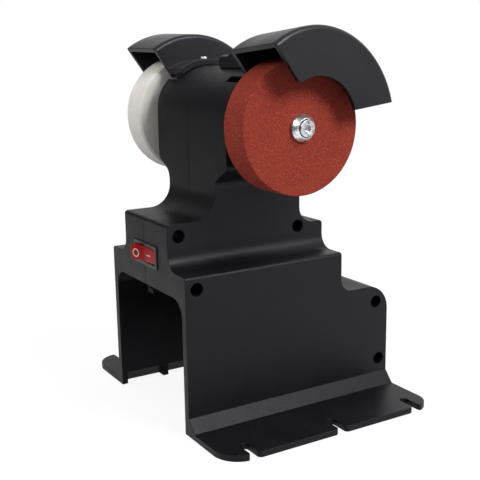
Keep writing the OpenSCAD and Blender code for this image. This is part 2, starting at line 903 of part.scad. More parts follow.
module commutator() {
    color(c_copper) difference() {
        spindle_ring(comm_x0, comm_x1, comm_r, shaft_bore_r);
        for (i = [0:rotor_slots - 1]) translate([0, axis_y, axis_z])
            rotate([(i + 0.5) * 360 / rotor_slots, 0, 0])
                translate([comm_x0 + 1, -0.25, comm_r - 1]) cube([comm_x1 - comm_x0, 0.5, 3]);
    }
}

// The fan on the rotor behind the winding
module cooling_fan() {
    color([0.85, 0.83, 0.75]) {
        spindle_ring(fan_x - fan_t, fan_x, fan_r, shaft_bore_r);
        for (i = [0:8]) translate([0, axis_y, axis_z]) rotate([i * 40, 0, 0])
            translate([fan_end_x, -0.6, fan_hub_r - 0.6]) cube([4, 1.2, fan_r - fan_hub_r]);
        spindle_ring(fan_end_x, fan_x - 0.6, fan_hub_r, shaft_bore_r);
    }
}

// The hub behind each wheel: a neck, a disc and a spigot that centres the wheel
module wheel_hub() {
    color(c_steel) difference() {
        union() {
            spindle_bar(bearing_in_x + bearing_w, wheel_x - 3, hub_neck_r);
            spindle_bar(wheel_x - 3.2, wheel_x, hub_disc_r);
            spindle_bar(wheel_x - 0.1, spindle_end_x, hub_spigot_r);
        }
        spindle_bar(0, body_w, shaft_bore_r);
    }
}

module wheel_hub_right() { wheel_hub(); }
module wheel_hub_left() { mirror([1, 0, 0]) wheel_hub(); }

// A wheel drawn in radius and X: square edges with a small break
module wheel_section(edge) {
    r = wheel_d / 2;
    difference() {
        translate([wheel_bore_r, wheel_x]) square([r - wheel_bore_r, wheel_t]);
        for (x = [wheel_x, wheel_x + wheel_t]) translate([r, x]) rotate(45)
            square(edge * sqrt(2), center = true);
    }
}

module grinding_wheel() {
    color(c_red) turned(0, 360) wheel_section(0.4);
}

module polishing_wheel() {
    color(c_white) mirror([1, 0, 0]) turned(0, 360) wheel_section(1.2);
}

// Conical clamping washers, hollow behind and sunk in front for the screw heads
module wheel_washers() {
    x0 = wheel_x + wheel_t;
    hole_r = thread_r + 0.1;
    sink_r = wheel_screw_r + 0.15;
    color(c_steel) both_sides() turned(0, 360) polygon([[hole_r, x0 + 0.6],
        [washer_r - 2, x0 + 0.6], [washer_r - 1.2, x0], [washer_r, x0],
        [washer_r, x0 + washer_rim_t], [washer_top_r, x0 + washer_t], [sink_r, x0 + washer_t],
        [sink_r, x0 + washer_seat], [hole_r, x0 + washer_seat]]);
}

// Socket screws in the ends of the spindle
module wheel_screws() {
    x0 = wheel_x + wheel_t + washer_seat;
    color(c_steel) both_sides() difference() {
        union() {
            spindle_bar(x0, x0 + wheel_screw_t, wheel_screw_r);
            spindle_bar(spindle_end_x - thread_depth + 2, x0 + 0.1, thread_r);
        }
        translate([x0 + wheel_screw_t - 2.6, axis_y, axis_z]) rotate([0, 90, 0])
            cylinder(r = 2.3, h = 4, $fn = 6);
    }
}

// A guard in radius and X: outer plate, tapering rim and inner plate, rounded outside
module guard_section() {
    in_x = guard_plate_x - guard_t;
    mid_in = [guard_r - guard_taper - guard_edge_r, in_x + guard_edge_r];
    mid_out = [guard_r - guard_edge_r, guard_x - guard_edge_r];
    lean = atan2(mid_out[0] - mid_in[0], mid_out[1] - mid_in[1]);
    normal = [cos(lean), -sin(lean)];
    top_in = mid_in + guard_edge_r * normal;
    top_out = mid_out + guard_edge_r * normal;
    difference() {
        union() {
            polygon([[guard_bore_r, in_x], [mid_in[0], in_x], mid_in, top_in, top_out, mid_out,
                [mid_out[0], guard_x], [guard_bore_r, guard_x]]);
            translate(mid_in) circle(guard_edge_r);
            translate(mid_out) circle(guard_edge_r);
        }
        polygon([[0, guard_plate_x], [top_in[0] - guard_t, guard_plate_x],
            [top_out[0] - guard_t, guard_x - guard_t], [0, guard_x - guard_t]]);
    }
    translate([guard_low_r, guard_x - guard_t]) square([guard_bore_r - guard_low_r + 1, guard_t]);
}

// The shell of a guard, with its front and rear cuts and the notch that shows the wheel
module guard_shell() {
    difference() {
        turned(guard_front - 12, 180) guard_section();
        translate([0, axis_y, axis_z]) rotate([90 - guard_front, 0, 0])
            translate([0, -2 * guard_r, -guard_r])
                cube([2 * guard_x, 2 * guard_r + guard_cut, 3 * guard_r]);
        translate([0, axis_y + guard_low_r, axis_z + guard_rear_z]) rotate([guard_rear_lean, 0, 0])
            translate([0, -guard_r, -guard_r]) cube([2 * guard_x, 3 * guard_r, guard_r]);
        spindle_bar(0, guard_x - guard_t, guard_bore_r);
        translate([0, notch_y, notch_z]) spindle_bar(guard_x - guard_t - 1, guard_x + 1, notch_r);
        along_x(guard_x - guard_t - 1, guard_x + 1) translate([axis_y, axis_z])
            rotate(90 - guard_front) tip_outside();
    }
}

// What is taken off the tip between the front cut and the notch, with the front cut upright
module tip_outside() {
    a = 90 - guard_front;
    notch = [notch_y * cos(a) + notch_z * sin(a), notch_z * cos(a) - notch_y * sin(a)];
    mid_x = guard_cut + tip_r;
    to_mid = [mid_x - notch[0], sqrt(pow(notch_r + tip_r, 2) - pow(mid_x - notch[0], 2))];
    mid = notch + to_mid;
    touch = notch + notch_r * to_mid / norm(to_mid);
    difference() {
        polygon([[0, mid[1]], [0, touch[1] - tip_r], [touch[0], touch[1] - tip_r], touch, mid]);
        translate(mid) circle(tip_r);
    }
}

// The collar that closes the gap between a guard and the end of the head
module guard_collar() {
    turned(guard_front + 5, saddle_rear) translate([collar_r0, head_w / 2 + collar_gap])
        square([head_r - collar_r0, guard_plate_x - guard_t - head_w / 2 - collar_gap + 0.5]);
}

// The saddle in radius and X: a strap with a raised lip along its free edge
module saddle_section() {
    square([saddle_t, guard_plate_x - guard_t - saddle_x + 0.5]);
    square([saddle_lip_t, saddle_lip_w]);
}

// The left guard sits on the head with a curved saddle
module guard_left() {
    color(c_guard) mirror([1, 0, 0]) difference() {
        union() {
            translate(guard_shift_left) guard_shell();
            guard_collar();
            turned(guard_front + 2, saddle_rear) translate([saddle_r, saddle_x]) saddle_section();
        }
        guard_screw_hole(guard_screw_x, guard_screw_a, screw_shank_r, head_r, head_r + 8);
    }
}

// The arm of the right guard, seen from the front and from the side
module arm_front_outline() {
    low = axis_z;
    end_x = guard_plate_x - guard_t + 0.5;
    translate([arm_end_x, low]) top_round(arm_step_x + 8 - arm_end_x, arm_low_z - low, arm_r);
    translate([arm_step_x, low]) square([end_x - arm_step_x, arm_low_z - low]);
    translate([arm_step_x + 3, low]) square([end_x - arm_step_x - 3, arm_high_z - low]);
    translate([arm_step_x + 3, arm_low_z]) mirror([1, 0]) corner_fill(arm_high_z - arm_low_z);
}

module guard_right() {
    color(c_guard) difference() {
        union() {
            translate([guard_plate_x, axis_y, axis_z] + guard_shift_right)
                rotate([0, -guard_lean, guard_turn])
                    translate([-guard_plate_x, -axis_y, -axis_z]) guard_shell();
            guard_collar();
            intersection() {
                along_y(axis_y - arm_half_d, axis_y + arm_half_d) arm_front_outline();
                along_x(arm_end_x - 1, guard_x) translate([axis_y - arm_half_d, axis_z])
                    top_round(2 * arm_half_d, arm_high_z - axis_z, arm_r);
            }
        }
        spindle_bar(arm_end_x - 2, guard_plate_x - guard_t, saddle_r);
        spindle_bar(guard_plate_x - guard_t - 1, guard_plate_x, guard_bore_r);
        guard_screw_hole(arm_screw_x, 90, screw_shank_r, head_r, head_r + 12);
        guard_screw_hole(arm_screw_x, 90, screw_head_r, arm_low_z - axis_z - 3, head_r + 12);
    }
}

// One screw stands on the left saddle and one is sunk in the right arm
module guard_screws() {
    color(c_steel) {
        guard_screw(-guard_screw_x, guard_screw_a, saddle_r + saddle_t);
        guard_screw(arm_screw_x, 90, arm_low_z - axis_z - 3);
    }
}

module guard_screw(x, a, seat_r) {
    translate([x, axis_y, axis_z]) rotate([90 - a, 0, 0]) translate([0, 0, seat_r]) difference() {
        union() {
            cylinder(r = guard_head_r, h = 2.2);
            translate([0, 0, motor_r + 3.2 - seat_r])
                cylinder(r = screw_shank_r, h = seat_r - motor_r - 3.1);
        }
        cross_recess(3.6, 0.8, 2.2, 1.3);
    }
}

housing_left();
housing_right();
housing_screws();
battery_rail_plate();
rail_plate_screws();
terminal_block();
terminal_blades();
switch_body();
switch_rocker();
rocker_plunger();
switch_terminals();
control_board();
board_parts();
battery_leads();
motor_leads();
motor_can();
motor_magnets();
motor_bell_left();
motor_bell_right();
brush_card();
brush_holders();
brushes();
brush_springs();
bearing_outer_rings();
bearing_inner_rings();
bearing_balls();
spindle();
armature_core();
armature_winding();
commutator();
cooling_fan();
wheel_hub_left();
wheel_hub_right();
grinding_wheel();
polishing_wheel();
wheel_washers();
wheel_screws();
guard_left();
guard_right();
guard_screws();
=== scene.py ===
import json
import math

import bmesh
import bpy
from mathutils import Matrix, Vector


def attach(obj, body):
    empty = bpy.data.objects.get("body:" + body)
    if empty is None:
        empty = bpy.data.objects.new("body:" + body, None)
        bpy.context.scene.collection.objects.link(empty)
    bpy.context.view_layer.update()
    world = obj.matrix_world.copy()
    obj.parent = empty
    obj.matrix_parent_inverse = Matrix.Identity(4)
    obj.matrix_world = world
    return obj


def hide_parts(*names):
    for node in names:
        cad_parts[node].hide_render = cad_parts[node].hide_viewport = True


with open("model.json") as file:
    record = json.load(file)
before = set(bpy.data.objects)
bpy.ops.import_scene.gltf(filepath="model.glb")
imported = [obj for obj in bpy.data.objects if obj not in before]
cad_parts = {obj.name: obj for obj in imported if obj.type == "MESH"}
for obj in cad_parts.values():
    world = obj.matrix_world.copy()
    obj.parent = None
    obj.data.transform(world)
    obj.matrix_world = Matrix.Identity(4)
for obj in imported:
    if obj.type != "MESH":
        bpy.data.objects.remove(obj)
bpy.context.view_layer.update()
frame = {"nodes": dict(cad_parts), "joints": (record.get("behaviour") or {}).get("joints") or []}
scene = bpy.context.scene

MM = 0.001

# The photograph's camera, solved from the wheel rims, guard arcs and housing edges
AZIMUTH = math.radians(59.125)
ELEVATION = math.radians(12.52)
ROLL = math.radians(-0.8865)
FOCAL_PIXELS = 867.707
IMAGE_PIXELS = 480
DISTANCE = 552.05 * MM
TARGET = Vector((0, -4.3555, 98.585)) * MM

# The sensor's width in mm, and the camera's nearest and farthest sight in metres
SENSOR = 36.0
NEAREST, FARTHEST = 0.01, 20


def make_camera():
    """The camera at the photograph's place and viewing angle."""
    back = Vector((
        math.sin(AZIMUTH) * math.cos(ELEVATION),
        -math.cos(AZIMUTH) * math.cos(ELEVATION),
        math.sin(ELEVATION),
    ))
    right = (-back).cross(Vector((0, 0, 1))).normalized()
    up = right.cross(-back)
    across = math.cos(ROLL) * right + math.sin(ROLL) * up
    above = math.cos(ROLL) * up - math.sin(ROLL) * right
    data = bpy.data.cameras.new("view")
    data.sensor_width = SENSOR
    data.lens = FOCAL_PIXELS / IMAGE_PIXELS * SENSOR
    data.clip_start, data.clip_end = NEAREST, FARTHEST
    camera = bpy.data.objects.new("view", data)
    place = TARGET + DISTANCE * back
    camera.matrix_world = Matrix((
        (across.x, above.x, back.x, place.x),
        (across.y, above.y, back.y, place.y),
        (across.z, above.z, back.z, place.z),
        (0, 0, 0, 1),
    ))
    scene.collection.objects.link(camera)
    scene.camera = camera


# Node helpers. Sizes named _mm are in mm, and "where" is a socket of object coordinates.

# A colour Mix node's sockets: its factor, its two colours, and its result
MIX_INPUTS, MIX_RESULT = (0, 6, 7), 2

# Most values of a noise texture lie between these
NOISE_LOW, NOISE_HIGH = 0.3, 0.7


def fill(tree, node, values):
    """Link each of the node's inputs to its value if that is a socket, and set it if not."""
    for key, value in values.items():
        if isinstance(value, bpy.types.NodeSocket):
            tree.links.new(value, node.inputs[key])
        else:
            node.inputs[key].default_value = value


def add(tree, kind, values=None, **settings):
    """A new node with its settings, and values for its inputs by name or number."""
    node = tree.nodes.new(kind)
    for name, value in settings.items():
        setattr(node, name, value)
    fill(tree, node, values or {})
    return node


def empty_tree(owner):
    """The node tree of a material or world, with nothing in it."""
    owner.use_nodes = True
    owner.node_tree.nodes.clear()
    return owner.node_tree


def start(name):
    """A new material, its tree and shader, and the object coordinates."""
    material = bpy.data.materials.new(name)
    tree = empty_tree(material)
    shader = add(tree, "ShaderNodeBsdfPrincipled")
    add(tree, "ShaderNodeOutputMaterial", {"Surface": shader.outputs[0]})
    return material, tree, shader, add(tree, "ShaderNodeTexCoord").outputs["Object"]


def noise(tree, where, size_mm, detail=2.0, roughness=0.5, stretch=None):
    """Soft noise of one size, drawn out along an axis where its stretch is below 1."""
    if stretch:
        mapping = {"Vector": where, "Scale": stretch}
        where = add(tree, "ShaderNodeMapping", mapping).outputs[0]
    return add(tree, "ShaderNodeTexNoise", {
        "Vector": where,
        "Scale": 1 / (size_mm * MM),
        "Detail": detail,
        "Roughness": roughness,
    }).outputs["Fac"]


def cells(tree, where, size_mm):
    """Cells of one size: the distance from a cell's point, and a random tone for each cell."""
    node = add(tree, "ShaderNodeTexVoronoi", {"Vector": where, "Scale": 1 / (size_mm * MM)})
    tone = add(tree, "ShaderNodeSeparateColor", {"Color": node.outputs["Color"]}).outputs[0]
    return node.outputs["Distance"], tone


def fit(tree, value, low, high, to_low=0.0, to_high=1.0):
    """The value from low to high, spread over to_low to to_high."""
    return add(tree, "ShaderNodeMapRange", {
        "Value": value,
        "From Min": low,
        "From Max": high,
        "To Min": to_low,
        "To Max": to_high,
    }).outputs[0]


def spread(tree, value, to_low=0.0, to_high=1.0):
    """A noise value, spread over to_low to to_high."""
    return fit(tree, value, NOISE_LOW, NOISE_HIGH, to_low, to_high)


def mix(tree, factor, first, second):
    """A colour between the first and the second, each a socket or a tuple."""
    node = add(tree, "ShaderNodeMix", data_type="RGBA")
    values = (factor, *((*c, 1) if isinstance(c, tuple) else c for c in (first, second)))
    fill(tree, node, dict(zip(MIX_INPUTS, values)))
    return node.outputs[MIX_RESULT]


def reckon(tree, operation, first, second=0.0):
    """The result of a Math node."""
    return add(tree, "ShaderNodeMath", {0: first, 1: second}, operation=operation).outputs[0]


def product(tree, first, second):
    return reckon(tree, "MULTIPLY", first, second)


def vector(tree, operation, values, result=0):
    """One result of a Vector Math node."""
    return add(tree, "ShaderNodeVectorMath", values, operation=operation).outputs[result]


def bump(tree, height, depth_mm, strength=1.0):
    """A normal that shows the height as relief of a depth."""
    return add(tree, "ShaderNodeBump", {
        "Height": height,
        "Distance": depth_mm * MM,
        "Strength": strength,
    }).outputs[0]


def uneven(tree, cloud, colour, darkest, palest):
    """The colour, from a darkest to a palest share of it, as a noise value goes."""
    dark, pale = (tuple(c * share for c in colour) for share in (darkest, palest))
    return mix(tree, spread(tree, cloud), dark, pale)


# Materials

# The reflections of the black plastics are faintly violet in the photograph
PLASTIC_TINT = (0.93, 0.91, 1.0, 1.0)

# Scuffs on the plastics: what they multiply the colour by, and the grey they add
SCUFF_GAIN, SCUFF_GREY = 1.9, 0.012

# Lint on the plastics: how far apart its places are, the tones that have a speck, its colour,
# and where a speck starts and stops to fade, as a share of the distance between places
LINT_MM, LINT_FROM_TONE, LINT_COLOUR = 3.4, 0.80, (0.16, 0.16, 0.17)
LINT_CORE, LINT_EDGE = 0.05, 0.09

# Pale chips in the abrasive: the tones that have one, and how pale it is
CHIP_FROM_TONE, CHIP_SHARE = 0.992, 0.4

# The wheels' axis, for rings about it, and how far apart the rings are
SPINDLE = (0, -8.5065 * MM, 175.0 * MM)
RING_MM = 0.7

# The wave texture's scale for bands a metre apart
BAND_SCALE = 0.3142


def moulded(name, colour, gloss, grain_mm=0.5, grain_depth=0.02, level=0.5, scuffs=0.3, lint=0.0):
    """Moulded plastic: fine eroded grain, uneven sheen, pale scuffs and specks of lint."""
    material, tree, shader, where = start(name)
    cloud = noise(tree, where, size_mm=24, detail=3)
    streak = noise(tree, where, size_mm=5, detail=4, roughness=0.6, stretch=(1, 1, 0.25))
    speck = noise(tree, where, size_mm=1.4)
    grain = noise(tree, where, grain_mm, detail=1.5)
    scuffed = product(tree, fit(tree, streak, low=0.60, high=0.82),
                      fit(tree, speck, low=0.5, high=0.75))
    pale = tuple(c * SCUFF_GAIN + SCUFF_GREY for c in colour)
    body = uneven(tree, cloud, colour, darkest=0.82, palest=1.15)
    body = mix(tree, product(tree, scuffed, scuffs), body, pale)
    if lint:
        distance, tone = cells(tree, where, LINT_MM)
        near = fit(tree, distance, LINT_CORE, LINT_EDGE, to_low=1.0, to_high=0.0)
        few = reckon(tree, "GREATER_THAN", tone, LINT_FROM_TONE)
        body = mix(tree, product(tree, product(tree, near, few), lint), body, LINT_COLOUR)
    fill(tree, shader, {
        "Base Color": body,
        "Roughness": spread(tree, cloud, gloss - 0.05, gloss + 0.06),
        "Specular IOR Level": level,
        "Specular Tint": PLASTIC_TINT,
        "Normal": bump(tree, grain, grain_depth),
    })
    return material


def glossy(name, colour, rough, level=0.5, coat=0.0):
    """Polished moulded plastic with faint rubbing marks."""
    material, tree, shader, where = start(name)
    cloud = noise(tree, where, size_mm=6, detail=3)
    rubbed = noise(tree, where, size_mm=2.0)
    fill(tree, shader, {
        "Base Color": uneven(tree, cloud, colour, darkest=0.9, palest=1.1),
        "Roughness": spread(tree, cloud, rough, rough + 0.1),
        "Specular IOR Level": level,
        "Coat Weight": coat,
        "Normal": bump(tree, rubbed, depth_mm=0.01, strength=0.4),
    })
    return material


def metal(name, colour, rough, brushed=(1, 1, 1)):
    """Plated or ground metal. brushed is the stretch of its grinding marks."""
    material, tree, shader, where = start(name)
    cloud = noise(tree, where, size_mm=4, detail=3)
    marks = noise(tree, where, size_mm=0.35, detail=3, roughness=0.6, stretch=brushed)
    fill(tree, shader, {
        "Base Color": uneven(tree, cloud, colour, darkest=0.75, palest=1.0),
        "Roughness": spread(tree, marks, rough, rough + 0.14),
        "Metallic": 1.0,
        "Normal": bump(tree, marks, depth_mm=0.012, strength=0.5),
    })
    return material


def turned(name, colour, dark, rough):
    """Plated steel turned about the spindle: fine rings, and painted reflection in dark patches."""
    material, tree, shader, where = start(name)
    radial = vector(tree, "MULTIPLY", {0: where, 1: (0, 1, 1)})
    away = vector(tree, "DISTANCE", {0: radial, 1: SPINDLE}, "Value")
    ring = reckon(tree, "SINE", product(tree, away, 2 * math.pi / (RING_MM * MM)))
    cloud = noise(tree, where, size_mm=3.6, detail=3, roughness=0.6)
    tone = reckon(tree, "ADD", product(tree, ring, 0.04), cloud)
    height = reckon(tree, "ADD", product(tree, ring, 0.3), product(tree, cloud, 9))
    fill(tree, shader, {
        # The dark colour, where the noise is low, is painted reflection; in the rings' hollows it
        # is oxide
        "Base Color": mix(tree, fit(tree, tone, low=0.36, high=0.52), dark, colour),
        "Roughness": spread(tree, cloud, rough, rough + 0.12),
        "Metallic": 1.0,
        "Normal": bump(tree, height, depth_mm=0.03, strength=0.8),
    })
    return material


def grit(name, dull, bright, binder, dust, chip):
    """Bonded abrasive: grains from dull to bright, binder between them, and a few chips."""
    material, tree, shader, where = start(name)
    tone = cells(tree, where, size_mm=0.50)[1]
    fine = noise(tree, where, size_mm=0.6, detail=3, roughness=0.7)
    cloud = noise(tree, where, size_mm=14, detail=3)
    body = mix(tree, tone, dull, bright)
    body = mix(tree, fit(tree, fine, low=0.36, high=0.56), binder, body)
    body = mix(tree, fit(tree, cloud, low=0.35, high=0.75, to_high=0.35), body, dust)
    rare = reckon(tree, "GREATER_THAN", tone, CHIP_FROM_TONE)
    body = mix(tree, product(tree, rare, CHIP_SHARE), body, chip)
    height = reckon(tree, "ADD", fine, product(tree, tone, 0.5))
    fill(tree, shader, {
        "Base Color": body,
        "Roughness": 0.86,
        "Specular IOR Level": 0.25,
        "Normal": bump(tree, height, depth_mm=0.10, strength=0.7),
    })
    return material


def felt(name, deep, raised, soiled):
    """Pressed wool felt: short tangled fibres, a little soiled in places."""
    material, tree, shader, where = start(name)
    fibre, cross = (
        noise(tree, where, size_mm=0.9, detail=5, roughness=0.75, stretch=stretch)
        for stretch in ((1, 2.6, 1), (1, 1, 2.6))
    )
    both = reckon(tree, "MAXIMUM", fibre, cross)
    cloud = noise(tree, where, size_mm=12, detail=3)
    body = mix(tree, fit(tree, both, low=0.45, high=0.75), deep, raised)
    body = mix(tree, fit(tree, cloud, low=0.4, high=0.75, to_high=0.5), body, soiled)
    fill(tree, shader, {
        "Base Color": body,
        "Roughness": 0.95,
        "Specular IOR Level": 0.15,
        "Sheen Weight": 0.25,
        "Sheen Roughness": 0.5,
        "Normal": bump(tree, both, depth_mm=0.14, strength=0.7),
    })
    return material


def banded(name, colour, dark, pitch_mm, metallic, rough):
    """Stacked sheets or wound wire: narrow bands along the spindle."""
    material, tree, shader, where = start(name)
    wave = add(tree, "ShaderNodeTexWave", {
        "Vector": where,
        "Scale": BAND_SCALE / (pitch_mm * MM),
        "Distortion": 0.4,
        "Detail": 1.0,
    }).outputs["Fac"]
    cloud = noise(tree, where, size_mm=1.5, detail=3)
    fill(tree, shader, {
        "Base Color": mix(tree, fit(tree, wave, low=0.15, high=0.7), dark, colour),
        "Roughness": spread(tree, cloud, rough, rough + 0.15),
        "Metallic": metallic,
        "Normal": bump(tree, wave, depth_mm=0.15 * pitch_mm, strength=0.8),
    })
    return material


# Each finish: its maker and its values
FINISHES = {
    "housing": (moulded, {
        "colour": (0.0046, 0.0044, 0.0055), "gloss": 0.41, "grain_mm": 0.70,
        "grain_depth": 0.08, "level": 0.20, "scuffs": 0.8, "lint": 0.6,
    }),
    "guard": (moulded, {
        "colour": (0.0052, 0.0050, 0.0062), "gloss": 0.36, "grain_mm": 0.60,
        "grain_depth": 0.07, "level": 0.31, "scuffs": 0.7, "lint": 0.6,
    }),
    "inner_moulding": (moulded, {
        "colour": (0.008, 0.008, 0.009), "gloss": 0.5, "level": 0.2, "scuffs": 0.2,
    }),
    "switch_case": (glossy, {"colour": (0.008, 0.008, 0.009), "rough": 0.28, "level": 0.45}),
    "switch_red": (glossy, {"colour": (0.31, 0.005, 0.007), "rough": 0.16, "level": 0.14}),
    "switch_mark": (glossy, {"colour": (0.66, 0.46, 0.44), "rough": 0.3, "level": 0.2}),
    "red_abrasive": (grit, {
        "dull": (0.22, 0.024, 0.014), "bright": (0.40, 0.056, 0.032),
        "binder": (0.12, 0.012, 0.007), "dust": (0.34, 0.050, 0.030),
        "chip": (0.55, 0.22, 0.16),
    }),
    "white_felt": (felt, {
        "deep": (0.66, 0.62, 0.575), "raised": (0.86, 0.835, 0.80),
        "soiled": (0.80, 0.765, 0.72),
    }),
    # The turned steels' dark colour is painted reflection in patches, and oxide in the rings'
    # hollows
    "zinc_steel": (turned, {
        "colour": (0.84, 0.86, 0.88), "dark": (0.36, 0.39, 0.43), "rough": 0.26,
    }),
    "screws": (turned, {
        "colour": (0.74, 0.75, 0.77), "dark": (0.22, 0.23, 0.25), "rough": 0.16,
    }),
    "bright_steel": (metal, {
        "colour": (0.72, 0.73, 0.75), "rough": 0.18, "brushed": (12, 1, 1),
    }),
    "contacts": (metal, {"colour": (0.78, 0.60, 0.27), "rough": 0.25}),
    "core_steel": (banded, {
        "colour": (0.42, 0.44, 0.47), "dark": (0.12, 0.12, 0.13),
        "pitch_mm": 0.5, "metallic": 1.0, "rough": 0.35,
    }),
    "copper": (banded, {
        "colour": (0.72, 0.33, 0.14), "dark": (0.20, 0.06, 0.02),
        "pitch_mm": 0.45, "metallic": 0.85, "rough": 0.28,
    }),
    "magnet": (moulded, {
        "colour": (0.045, 0.045, 0.05), "gloss": 0.6, "grain_mm": 0.3, "grain_depth": 0.03,
    }),
    "carbon": (moulded, {
        "colour": (0.02, 0.02, 0.021), "gloss": 0.5, "grain_mm": 0.25,
        "grain_depth": 0.03, "scuffs": 0.6,
    }),
    "card": (moulded, {"colour": (0.16, 0.075, 0.03), "gloss": 0.55}),
    "board": (glossy, {"colour": (0.015, 0.10, 0.04), "rough": 0.25, "coat": 0.2}),
    "fan": (moulded, {
        "colour": (0.58, 0.56, 0.50), "gloss": 0.45, "grain_mm": 0.6, "scuffs": 0.1,
    }),
    "lead_red": (moulded, {"colour": (0.42, 0.012, 0.012), "gloss": 0.45, "scuffs": 0.2}),
    "lead_black": (moulded, {"colour": (0.012, 0.012, 0.012), "gloss": 0.45, "scuffs": 0.2}),
}
materials = {name: make(name, **values) for name, (make, values) in FINISHES.items()}

for node in frame["nodes"].values():
    for place in node.material_slots:
        place.material = materials[place.material.name.split(".")[0]]


# Shapes, in mm where nothing else is said

# Places closer than this, in metres, are one, and faces that turn less than this are one
WELD = 1e-6
FLAT = math.radians(0.01)

# The least turn of an edge that is rounded, the number of faces on it, and its width by piece
SOFT_FROM, SOFT_STEPS = math.radians(35), 2
SOFT_EDGES = {
    "housing_left": 0.3,
    "housing_right": 0.3,
    "guard_left": 0.3,
    "guard_right_moulding": 0.3,
    "switch_body": 0.25,
    "wheel_screws": 0.3,
    "wheel_washers": 0.3,
    "guard_screws": 0.25,
}


def soften(piece, width_mm):
    """The small rounding that a mould or tool leaves on every edge."""
    weld = piece.modifiers.new("weld", "WELD")
    weld.merge_threshold = WELD
    flat = piece.modifiers.new("flat", "DECIMATE")
    flat.decimate_type, flat.angle_limit = "DISSOLVE", FLAT
    edge = piece.modifiers.new("edge", "BEVEL")
    edge.width, edge.segments = width_mm * MM, SOFT_STEPS
    edge.limit_method, edge.angle_limit = "ANGLE", SOFT_FROM
    edge.use_clamp_overlap = edge.loop_slide = False
    smooth = piece.modifiers.new("smooth", "WEIGHTED_NORMAL")
    smooth.keep_sharp = False


def new_piece(name, work, body, slot, replaced=()):
    """A smooth piece from a bmesh, on a body, that may replace CAD nodes."""
    mesh = bpy.data.meshes.new(name)
    work.to_mesh(mesh)
    work.free()
    for face in mesh.polygons:
        face.use_smooth = True
    mesh.materials.append(materials[slot])
    piece = bpy.data.objects.new(name, mesh)
    scene.collection.objects.link(piece)
    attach(piece, body)
    if replaced:
        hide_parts(*replaced)
    return piece


# The right guard's arm: its front face, where the rounded edge ends and where its foot is,
# the least turn of that edge, the edge's radius and the number of its faces
ARM_FRONT_Y, ARM_STEP_X, ARM_FOOT_Z = -17.3065, 11.4, 206.3
ARM_NEAR, ARM_FROM = 0.05, math.radians(50)
ARM_ROUND, ARM_STEPS = 2.4, 6


def make_right_guard():
    """The CAD guard with the front edge of its arm rounded, as the photograph shows it."""
    work = bmesh.new()
    work.from_mesh(frame["nodes"]["guard_right"].data)
    bmesh.ops.remove_doubles(work, verts=work.verts, dist=WELD)
    bmesh.ops.dissolve_limit(work, angle_limit=FLAT, verts=work.verts, edges=work.edges)

    def on_arm(vert):
        x, y, z = vert.co / MM
        return abs(y - ARM_FRONT_Y) < ARM_NEAR and x < ARM_STEP_X and z > ARM_FOOT_Z

    edges = [edge for edge in work.edges
             if all(on_arm(vert) for vert in edge.verts) and edge.calc_face_angle(0) > ARM_FROM]
    bmesh.ops.bevel(work, geom=edges, offset=ARM_ROUND * MM, segments=ARM_STEPS, profile=0.5,
                    affect="EDGES", clamp_overlap=False, loop_slide=False)
    return new_piece("guard_right_moulding", work, "housing", "guard", ["guard_right"])


# The rocker, about its pin: half its length, the depth of its front at the middle, its height,
# how far its ends rise, how softly its front bends, and the number of steps along its front
ROCKER_HALF, ROCKER_MIDDLE, ROCKER_HEIGHT = 12.3, 4.45, 9.2
ROCKER_RISE = ROCKER_HALF * math.tan(math.radians(7))
ROCKER_SOFT, ROCKER_STEPS = 1.6, 24

# The Y of its ends behind the front, and the corner of its back
ROCKER_END_Y, ROCKER_BACK_X, ROCKER_BACK_Y = 0.5, 5, 3.4

# Its tilt at rest, and the radius, steps and least turn of its rounded edges
ROCKER_TILT = math.radians(12)
ROCKER_ROUND, ROCKER_ROUND_STEPS, ROCKER_ROUND_FROM = 1.2, 4, math.radians(30)

# Its pin's radius, the number of its sides, and how far it stands out of the rocker
PIN_RADIUS, PIN_SIDES, PIN_PROUD = 1.2, 32, 0.7

# The marks: how far they stand out and go in, the ring's middle, its two radii and its number
# of sides, and the dash's middle, half its length, half its width and its places
MARK_PROUD, MARK_ROOT = 0.06, 0.2
OFF_MIDDLE, OFF_OUTER, OFF_INNER, OFF_SIDES = (-7.4, 0.0), 2.75, 1.75, 48
ON_X, ON_Z, ON_LONG, ON_THICK = 4.6, -0.1, 2.5, 0.42
ON_PLACES = ((-1, -1), (0, -1), (1, -1), (1, 1), (0, 1), (-1, 1))


def neighbours(count):
    """Each place round a loop, with the next one."""
    return [(i, (i + 1) % count) for i in range(count)]


def circle(radius, count, middle=(0, 0)):
    turn = 2 * math.pi / count
    return [(middle[0] + radius * math.cos(i * turn), middle[1] + radius * math.sin(i * turn))
            for i in range(count)]


def prism(work, outline, half):
    """An outline in X and Y drawn out to half its height each way."""
    low, high = ([work.verts.new((x, y, z)) for x, y in outline] for z in (-half, half))
    made = [work.faces.new(low[::-1]), work.faces.new(high)]
    made += [work.faces.new((low[i], low[j], high[j], high[i]))
             for i, j in neighbours(len(outline))]
    bmesh.ops.recalc_face_normals(work, faces=made)


def rocker_front(x):
    """The Y of the rocker's front at a place along it."""
    bend = ((math.hypot(x, ROCKER_SOFT) - ROCKER_SOFT)
            / (math.hypot(ROCKER_HALF, ROCKER_SOFT) - ROCKER_SOFT))
    return -ROCKER_MIDDLE - ROCKER_RISE * bend


def mark(name, loops, placed):
    """A pale mark on the rocker's front: a loop of places in X and Z, and one for its hole."""
    work = bmesh.new()
    rings = [[work.verts.new((x, rocker_front(x) - height, z)) for x, z in loop]
             for height in (MARK_PROUD, -MARK_ROOT) for loop in loops]
    pairs = ((0, 1), (1, 3), (3, 2), (2, 0)) if len(loops) == 2 else ((0, 1),)
    for a, b in pairs:
        for i, j in neighbours(len(loops[0])):
            work.faces.new((rings[a][i], rings[a][j], rings[b][j], rings[b][i]))
    if len(loops) == 1:
        work.faces.new(rings[0])
        work.faces.new(rings[1][::-1])
    bmesh.ops.recalc_face_normals(work, faces=work.faces)
    work.transform(placed)
    new_piece(name, work, "rocker", "switch_mark")


